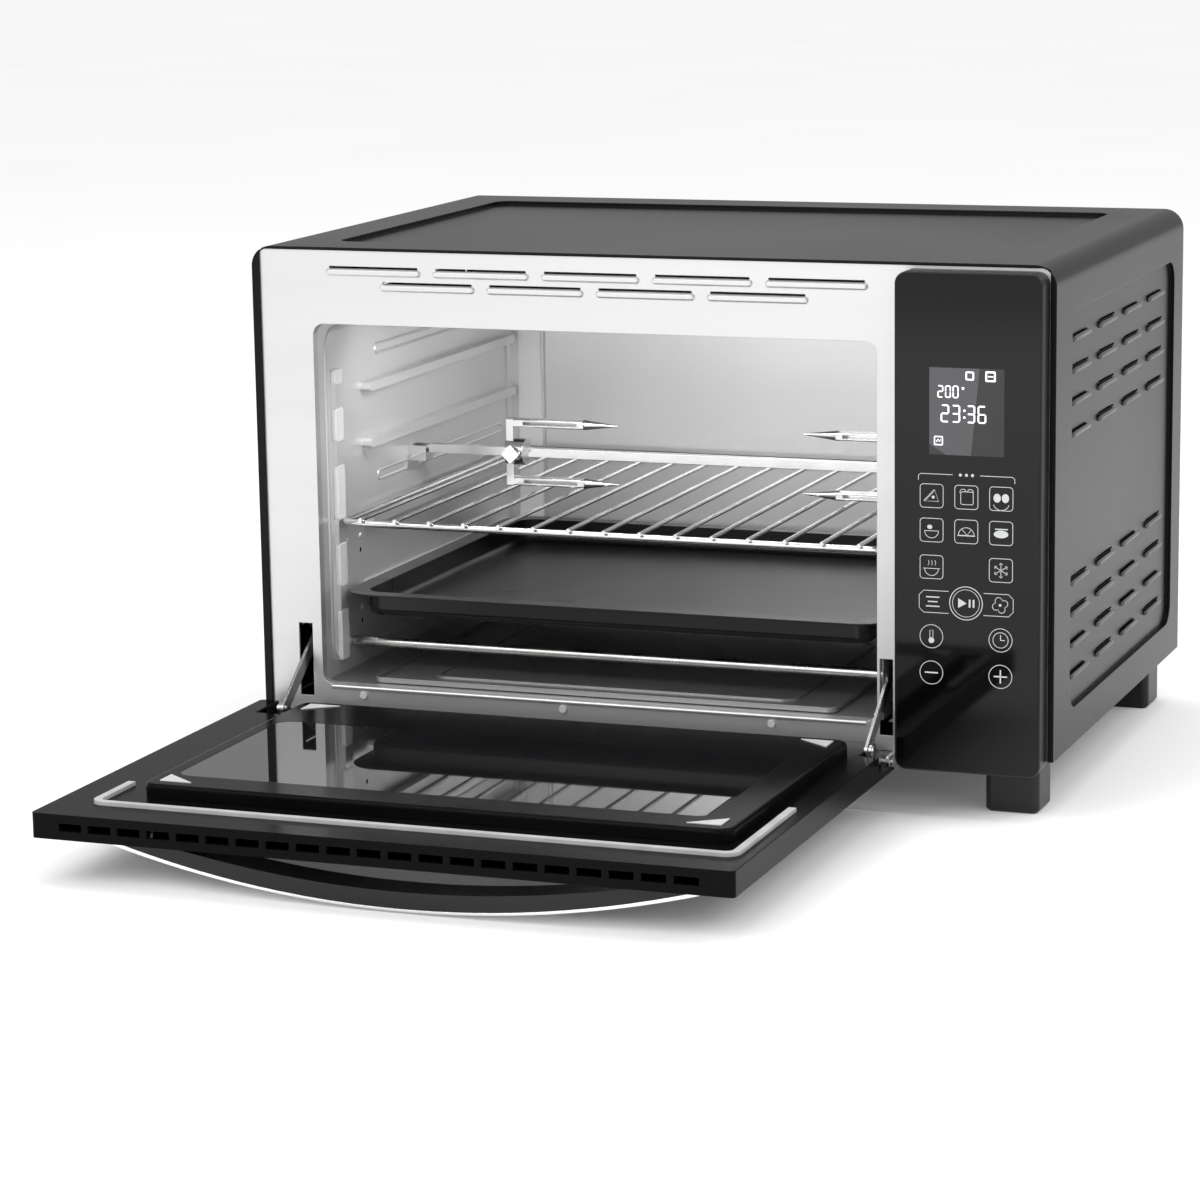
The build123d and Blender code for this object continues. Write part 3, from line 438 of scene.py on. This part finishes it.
def low_icons(ink):
    """A thermometer, a clock, and the less and more buttons, in rings."""
    warm, less = LOW_ROWS
    for x, z in ((-COLUMN, warm), (COLUMN, warm), (-COLUMN, less), (COLUMN, less)):
        ink.arc(x, z, ICON_HALF)
    left, right = -COLUMN - 1, -COLUMN + 1
    ink.stroke([(left, warm - 1), (left, warm + 4), (right, warm + 4), (right, warm - 1)])
    ink.blob(-COLUMN, warm - 2.6, 1.9, 1.9)
    ink.arc(COLUMN, warm, 5.0)
    ink.stroke([(COLUMN, warm + 3.4), (COLUMN, warm), (COLUMN + 2.8, warm)], 0.6)
    ink.stroke([(-COLUMN - 4.4, less), (-COLUMN + 4.4, less)], 0.9)
    ink.stroke([(COLUMN - 4.4, less), (COLUMN + 4.4, less)], 0.9)
    ink.stroke([(COLUMN, less - 4.4), (COLUMN, less + 4.4)], 0.9)


def menu_bracket(ink):
    """Bracket over the food icons, with three dots at its middle."""
    z, half = 193.8, 31.6
    for side in (-1, 1):
        leg = [(side * half, z - 4.2), (side * half, z - 1.2)]
        ink.stroke(leg + [(side * (half - 1.4), z), (side * 9, z)])
    for i in range(3):
        ink.blob(-4 + 4 * i, z, 1.0, 1.0)


def display(ink, shown):
    """Screen with its clock, temperature and small status marks, and a lighter patch across it that is a
    painted reflection.
    """
    lo, hi = shown
    mid = (lo.x + hi.x) / 2
    span_x, base, top = (hi.x - lo.x) / MM / 2, (lo.z - ink.low) / MM, (hi.z - ink.low) / MM
    numbers = Print(mid, ink.low, ink.front - PRINT_LIFT)
    line = base + (top - base) * 0.58
    for i, char in enumerate("200"):
        digit(numbers, char, -18.8 + 5.0 * i, line + 4.6, 3.1, 7.2, 0.75)
    numbers.arc(-2.4, line + 10.6, 0.7, width=0.35)
    for i, char in enumerate("2336"):
        digit(numbers, char, -16.5 + 7.2 * i + (2.6 if i > 1 else 0), line - 11.0, 4.6, 10.4, 0.95)
    for dz in (-8.0, -3.6):
        numbers.blob(-1.5, line + dz, 0.75, 0.75)
    numbers.square(2.0, top - 4.8, 2.3, 0.4, 0.9)
    numbers.square(15.5, top - 4.8, 2.8, 0.4, 1.1)
    numbers.stroke([(13.8, top - 4.8), (17.2, top - 4.8)], 0.7)
    numbers.square(-18.4, base + 9.0, 2.6, 0.4, 0.7)
    numbers.stroke([(-19.8, base + 8), (-18.8, base + 10), (-17.8, base + 8.4), (-17, base + 9.8)], 0.5)
    numbers.piece("display_digits", "digits")
    back = Print(mid, ink.low, ink.front)
    back.face([(-span_x, base), (span_x, base), (span_x, top), (-span_x, top)])
    back.piece("display_screen", "screen")
    # a lighter slanted patch over the screen, under the digits: a painted reflection
    painted_reflection = Print(mid, ink.low, ink.front - PRINT_LIFT / 2)
    left_side = [(-span_x, top), (-span_x, base + 0.12 * (top - base)), (-span_x * 0.55, base)]
    painted_reflection.face(left_side + [(span_x * 0.12, base), (span_x * 0.34, top)])
    painted_reflection.piece("display_painted_reflection", "screen_painted_reflection")


def control_print():
    lo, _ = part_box("control_glass")
    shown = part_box("display_module")
    middle = (shown[0].x + shown[1].x) / 2
    ink = Print(middle, lo.z, lo.y - PRINT_LIFT)
    for row in ICON_ROWS[:2]:
        for x in (-COLUMN, 0, COLUMN):
            ink.square(x, row, ICON_HALF, 2.2)
    for x in (-COLUMN, COLUMN):
        ink.square(x, ICON_ROWS[2], ICON_HALF, 2.2)
    food_icons(ink)
    mode_icons(ink)
    pill(ink)
    low_icons(ink)
    menu_bracket(ink)
    ink.piece("panel_icons", "white_print")
    display(ink, shown)


# ---- pressings on the cavity walls ----
LINER = 0.6 * MM             # thickness of the cavity sheets
MOUTH_LIP = 7.0 * MM         # the front frame's lip ends this far behind its front face
GROOVES = (238.0, 148.0)     # mid-heights, above the underside of the shell
GROOVE_HALF = 3.2            # half of a groove's height
FLANGE_RUN = (29.4, 42.6)    # behind the front frame's front face
FLANGE_HEIGHTS = (28.6, 233.4)
RUNNER_HEIGHTS = (76.7, 123.5, 178.0, 218.0)     # above the underside of the shell
RUNNER_DEEP = 6.5
DIMPLES = ((48.0, 59.0), (72.0, 59.0), (48.0, 110.0), (72.0, 110.0))     # behind and above the same


def cavity_pressings():
    """Ribs, grooves and dimples on both side walls, and the flanges at the left, painted lighter as
    highlights.
    """
    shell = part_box("outer_shell")[0].z
    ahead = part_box("front_frame")[1].y - MOUTH_LIP
    for side, node in ((1, "liner_left_side"), (-1, "liner_right_side")):
        lo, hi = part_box(node)
        face = lo.x + LINER if side == 1 else hi.x - LINER
        out, up = Vector((side, 0, 0)), Vector((0, 0, 1))
        verts, faces = [], []
        field = rounded((lo.y + 14 * MM, lo.z + 12 * MM), (hi.y - 9 * MM, hi.z - 11 * MM), 14 * MM)
        rib(verts, faces, [Vector((face, y, z)) for y, z in field], out, 3.4 * MM, 1.0 * MM)
        for z in GROOVES:
            start = (ahead + 105 * MM, shell + (z - GROOVE_HALF) * MM)
            end = (hi.y - 22 * MM, shell + (z + GROOVE_HALF) * MM)
            groove = rounded(start, end, 3.1 * MM)
            rib(verts, faces, [Vector((face, y, h)) for y, h in groove], out, 2.2 * MM, 0.9 * MM)
        for y, z in DIMPLES:
            spot = Vector((face, ahead + y * MM, shell + z * MM))
            dome(verts, faces, spot, out, up, 2.6 * MM, 1.1 * MM)
        smooth_piece(node + "_ribs", verts, faces, "liner_steel", "body")
    wall_flange(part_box("liner_left_side")[0].x + LINER, ahead, shell)
    corner_flange()


def wall_flange(face, ahead, shell):
    """Bright upright edge of the left wall, notched where each runner starts: the wall's steel painted
    lighter, a painted highlight.
    """
    front, back = (ahead + y * MM for y in FLANGE_RUN)
    top, bevel, corner = 3.35 * MM, 0.9 * MM, 3.0 * MM
    marks = [FLANGE_HEIGHTS[0]]
    for z in RUNNER_HEIGHTS:
        marks += [z - RUNNER_DEEP - 5.0, z + 4.0]
    marks.append(FLANGE_HEIGHTS[1])
    verts, faces = [], []
    for low, high in zip(marks[::2], marks[1::2]):
        start = len(verts)
        for shrink, lift in ((0.0, 0.2 * MM), (0.0, top - bevel), (bevel, top)):
            low_corner = (front + shrink, shell + low * MM + shrink)
            high_corner = (back - shrink, shell + high * MM - shrink)
            ring = rounded(low_corner, high_corner, corner - shrink)
            verts += [(face + lift, y, z) for y, z in ring]
        count = len(ring)
        for level in range(2):
            for i in range(count):
                a, b = start + count * level + i, start + count * level + (i + 1) % count
                faces.append((a, b, b + count, a + count))
        faces.append(tuple(start + 2 * count + i for i in range(count)))
    piece("wall_flange", verts, faces, "flange_painted_highlight", "body")


def corner_flange():
    """Folded edge of the back sheet, beside its pressed field, in the same lighter steel: a painted
    highlight.
    """
    lo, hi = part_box("liner_back")
    front = hi.y - LINER
    ring = rounded((lo.x + 6 * MM, lo.z + 6 * MM), (lo.x + 26 * MM, hi.z - 3 * MM), 2.0 * MM)
    inner = rounded((lo.x + 7 * MM, lo.z + 7 * MM), (lo.x + 25 * MM, hi.z - 4 * MM), 1.5 * MM)
    count = len(ring)
    verts = [(x, front, z) for x, z in ring] + [(x, front - 1.2 * MM, z) for x, z in inner]
    faces = [(i, (i + 1) % count, count + (i + 1) % count, count + i) for i in range(count)]
    faces.append(tuple(count + i for i in range(count)))
    piece("corner_flange", verts, faces, "flange_painted_highlight", "body")


# ---- side louvres: painted highlights on their hoods ----
RECESS = 3.0 * MM            # sunk field on each side of the shell
SHELL_LIP = 1.5              # the shell's front edge, before the front frame
LOUVRE_GROUPS = (45.5, 205.8)
LOUVRE_PITCH = (73.0, 20.8)
LOUVRE_RUN = (54.6, 95.4)    # first hood's ends, behind the front frame
LOUVRE_R = 2.78 * MM


def louvre_cap(verts, faces, side, face, ends, z):
    """Lighter crown of one pressed hood, a painted highlight where it catches the light: an arc in section,
    drawn in at both ends.
    """
    angles = [math.radians(-80 + 15.4 * i) for i in range(9)]
    stations = [(ends[0], a) for a in (-78, -52, -26, 0)] + [(ends[1], a) for a in (0, 26, 52, 78)]
    start = len(verts)
    for y, a in stations:
        r = LOUVRE_R * math.cos(math.radians(a))
        along = y + LOUVRE_R * math.sin(math.radians(a))
        verts += [(face + side * r * math.cos(t), along, z + r * math.sin(t)) for t in angles]
    for i in range(len(stations) - 1):
        for k in range(len(angles) - 1):
            a = start + len(angles) * i + k
            faces.append((a, a + 1, a + len(angles) + 1, a + len(angles)))


def side_louvre_highlights():
    lo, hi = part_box("outer_shell")
    for side, face, name in ((-1, lo.x + RECESS, "left"), (1, hi.x - RECESS, "right")):
        verts, faces = [], []
        for low in LOUVRE_GROUPS:
            for i in range(16):
                ends = [lo.y + (SHELL_LIP + end + LOUVRE_PITCH[0] * (i % 4)) * MM for end in LOUVRE_RUN]
                z = lo.z + (low + LOUVRE_PITCH[1] * (i // 4)) * MM
                louvre_cap(verts, faces, side, face, ends, z)
        # lighter caps over each hood: painted highlights where the hoods catch the light from above
        smooth_piece("side_louvre_highlights_" + name, verts, faces, "louvre_painted_highlight", "body")


# ---- floor, light and camera ----
def floor():
    side = FLOOR_SIZE / 2
    mesh = bpy.data.meshes.new("floor")
    corners = [(-side, -side, 0), (side, -side, 0), (side, side, 0), (-side, side, 0)]
    mesh.from_pydata(corners, [], [(0, 1, 2, 3)])
    m = Nodes("floor_paper")
    m.set(Specular_IOR_Level=0.0, Emission_Color=(1, 1, 1, 1), Emission_Strength=FLOOR_LIFT)
    m.colours(m.noise(2.0), (0.93, 0.93, 0.93), (0.95, 0.95, 0.95))
    m.join(m.ramp(m.noise(6.0), 0.85, 0.95), m.shader.inputs["Roughness"])
    mesh.materials.append(m.material)
    obj = bpy.data.objects.new("floor", mesh)
    bpy.context.scene.collection.objects.link(obj)


def softbox(name, place, aim, size, power):
    data = bpy.data.lights.new(name, "AREA")
    data.shape, data.size, data.size_y, data.energy = "RECTANGLE", size[0], size[1], power
    obj = bpy.data.objects.new(name, data)
    obj.location = place
    obj.rotation_euler = (Vector(aim) - Vector(place)).to_track_quat("-Z", "Y").to_euler()
    obj.visible_camera = False
    bpy.context.scene.collection.objects.link(obj)


def world():
    """Even white: brightest where the camera sees it, dimmest where metal and gloss reflect it."""
    made = bpy.data.worlds.new("studio")
    made.use_nodes = True
    tree = made.node_tree
    back = tree.nodes["Background"]
    path = tree.nodes.new("ShaderNodeLightPath")
    strength = None
    for ray, seen in (("Is Glossy Ray", WORLD_GLOSSY), ("Is Camera Ray", WORLD_SEEN)):
        step = tree.nodes.new("ShaderNodeMath")
        step.operation = "MULTIPLY_ADD"
        step.inputs[1].default_value = seen - WORLD_LEVEL
        tree.links.new(path.outputs[ray], step.inputs[0])
        if strength is None:
            step.inputs[2].default_value = WORLD_LEVEL
        else:
            tree.links.new(strength, step.inputs[2])
        strength = step.outputs["Value"]
    tree.links.new(strength, back.inputs["Strength"])
    back.inputs["Color"].default_value = (1, 1, 1, 1)
    bpy.context.scene.world = made


def camera():
    data = bpy.data.cameras.new("camera")
    data.lens, data.sensor_width = CAMERA_LENS, CAMERA_SENSOR
    ahead = Vector((-math.sin(CAMERA_YAW) * math.cos(CAMERA_PITCH),
                    math.cos(CAMERA_YAW) * math.cos(CAMERA_PITCH), math.sin(CAMERA_PITCH)))
    level = Vector((math.cos(CAMERA_YAW), math.sin(CAMERA_YAW), 0))
    up = level.cross(ahead)
    right = level * math.cos(CAMERA_ROLL) + up * math.sin(CAMERA_ROLL)
    top = right.cross(ahead)
    turn = Matrix((right, top, -ahead)).transposed().to_4x4()
    obj = bpy.data.objects.new("camera", data)
    obj.matrix_world = Matrix.Translation(CAMERA_PLACE) @ turn
    bpy.context.scene.collection.objects.link(obj)
    bpy.context.scene.camera = obj


def cavity_light():
    """Narrow strip under the cavity's ceiling, behind the top of the mouth."""
    lo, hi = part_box("liner_top")
    middle = (lo + hi) / 2
    place = (middle.x, lo.y + 0.05, lo.z - 0.012)
    softbox("cavity_fill", place, (middle.x, middle.y, 0.1), (0.3, 0.03), 0.5)


def studio():
    floor()
    world()
    camera()
    for name, values in SOFTBOXES.items():
        softbox(name, *values)
    cavity_light()
    bpy.context.scene.view_settings.view_transform = "Standard"


dress_frame()
control_print()
cavity_pressings()
side_louvre_highlights()
studio()
